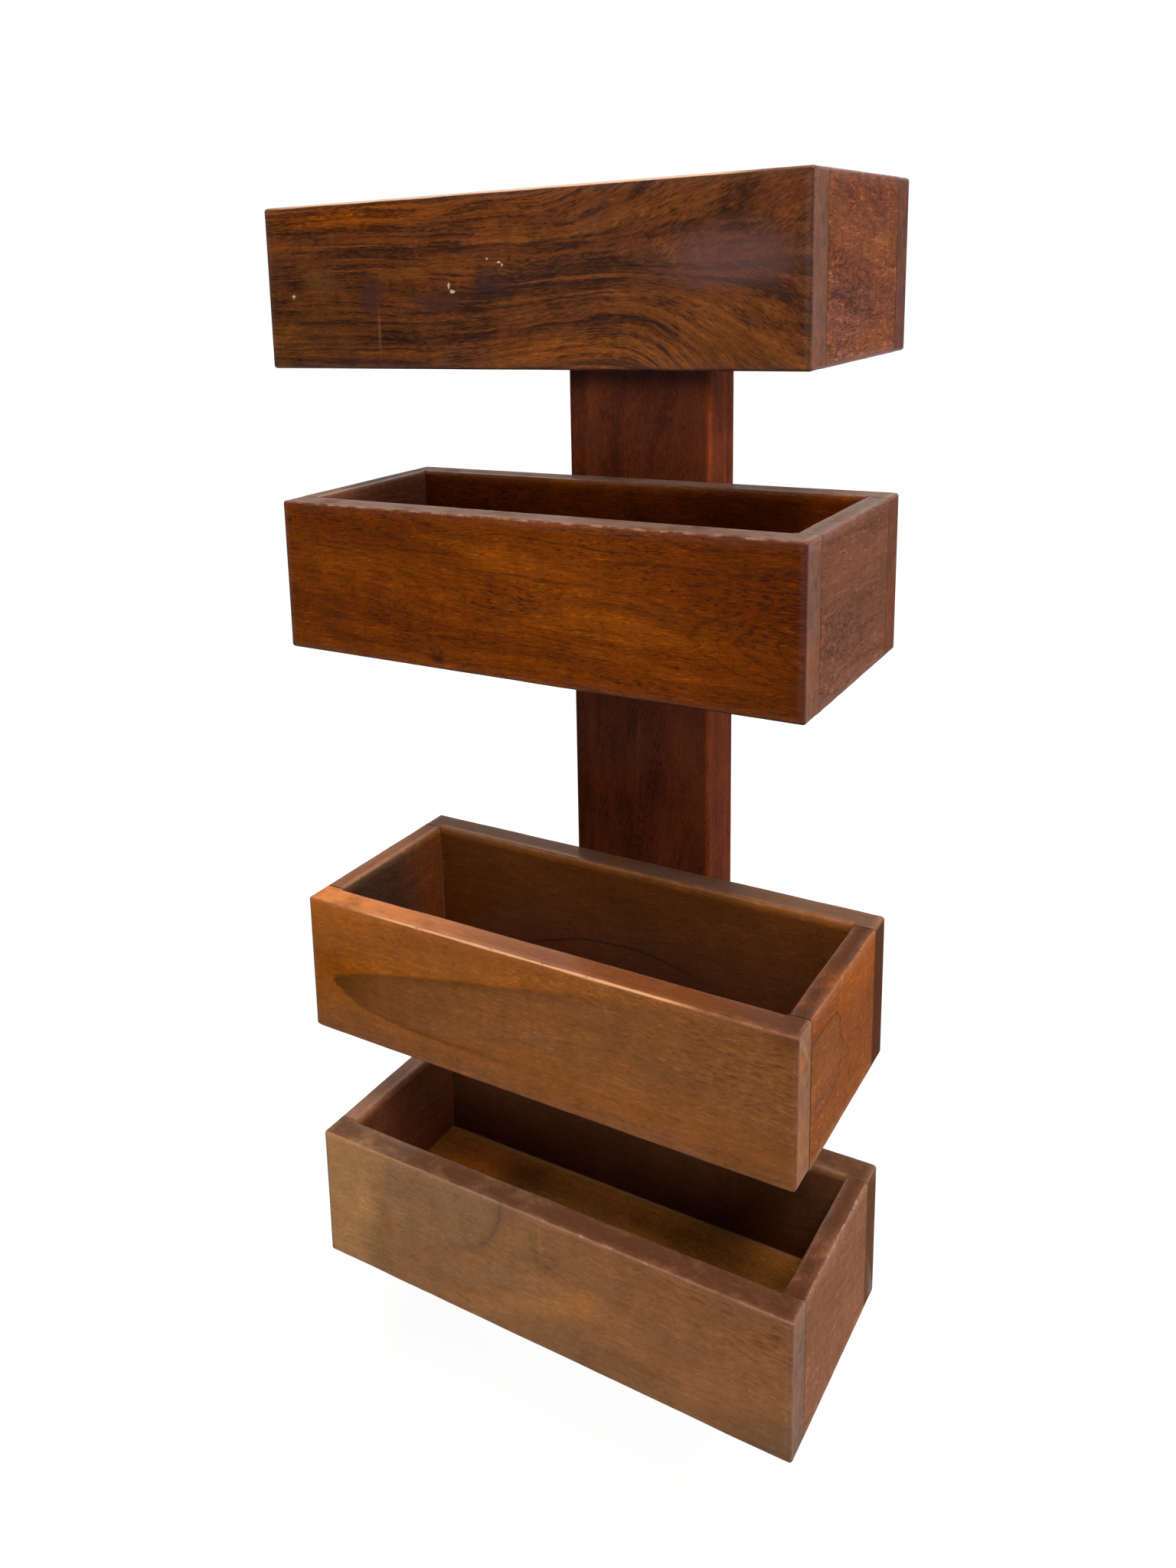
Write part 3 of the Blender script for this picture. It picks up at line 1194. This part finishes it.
FLOOR_DROP = 0.3
FLOOR_SIZE = 30.0
FLOOR_GREY = (0.35, 0.35, 0.35)
FLOOR_GLOW, FLOOR_GLOW_RISE = 0.8, 0.2
WORLD_LEVEL, WORLD_LEVEL_RISE = 0.14, 0.22
WHITE = (1, 1, 1)
MIDDLE = Vector((0.0, -0.1, 0.0))

# Each lamp's place and size in metres, its level and its colour
LAMPS = {
    "key": ((1.1, -1.6, 2.2), 0.8, 0.85, (1.0, 0.97, 0.93)),
    "right": ((2.2, -0.7, 0.7), 1.2, 0.4, (1, 1, 1)),
    "front": ((-0.7, -2.3, 0.5), 1.2, 0.1, (1, 1, 1)),
    "rear": ((-1.3, 1.9, 1.5), 0.9, 0.14, (1.0, 0.88, 0.72)),
}


def seen_plainly(t):
    """1 for rays that show a thing straight, mirrored or through glass, 0 for light that falls on things."""
    path = t.outputs(t.add("ShaderNodeLightPath"))
    direct = t.math("MAXIMUM", path["Is Camera Ray"], path["Is Transmission Ray"])
    return t.math("MAXIMUM", direct, path["Is Glossy Ray"])


def make_floor():
    z = cad_box[0][2] - FLOOR_DROP
    half = FLOOR_SIZE / 2
    bm = bmesh.new()
    bm.faces.new([bm.verts.new((x * half, y * half, z)) for x, y in ((-1, -1), (1, -1), (1, 1), (-1, 1))])
    floor = new_piece("floor", bm)
    material, t = new_material("pale_floor")
    x, y, _ = t.split(t.place())
    away = t.math("SQRT", x * x + y * y)
    glow = t.step(away, 0.5, 3.0) * FLOOR_GLOW_RISE + FLOOR_GLOW
    t.surface("ShaderNodeBsdfPrincipled", {
        "Base Color": FLOOR_GREY, "Roughness": 0.9, "Specular IOR Level": 0.0,
        "Emission Color": WHITE, "Emission Strength": seen_plainly(t) * glow,
    })
    floor.data.materials.append(material)


def make_world():
    world = bpy.data.worlds.new("studio")
    bpy.context.scene.world = world
    world.use_nodes = True
    world.node_tree.nodes.clear()
    t = Tree(world.node_tree)
    up = t.split(t.make("ShaderNodeTexCoord", output="Generated"))[2]
    level = t.step(up, -0.2, 0.9) * WORLD_LEVEL_RISE + WORLD_LEVEL
    colour = t.mix(seen_plainly(t), t.vector(level, level, level), WHITE)
    t.surface("ShaderNodeBackground", {"Color": colour}, output="ShaderNodeOutputWorld")


def soft_light(name, place, size, level, colour):
    """A square lamp aimed at the rack, bright enough for a white face turned to it to show the level."""
    place = Vector(place)
    data = bpy.data.lights.new(name, "AREA")
    data.size = size
    data.energy = level * math.pi ** 2 * (place - MIDDLE).length_squared
    data.color = colour
    light = bpy.data.objects.new(name, data)
    light.location = place
    light.rotation_euler = (MIDDLE - place).to_track_quat("-Z", "Y").to_euler()
    bpy.context.scene.collection.objects.link(light)


bpy.context.scene.view_settings.view_transform = "Standard"
make_camera()
wood_group()
make_boards()
make_floors()
dress_cad()
make_floor()
make_world()
for name, lamp in LAMPS.items():
    soft_light(name, *lamp)
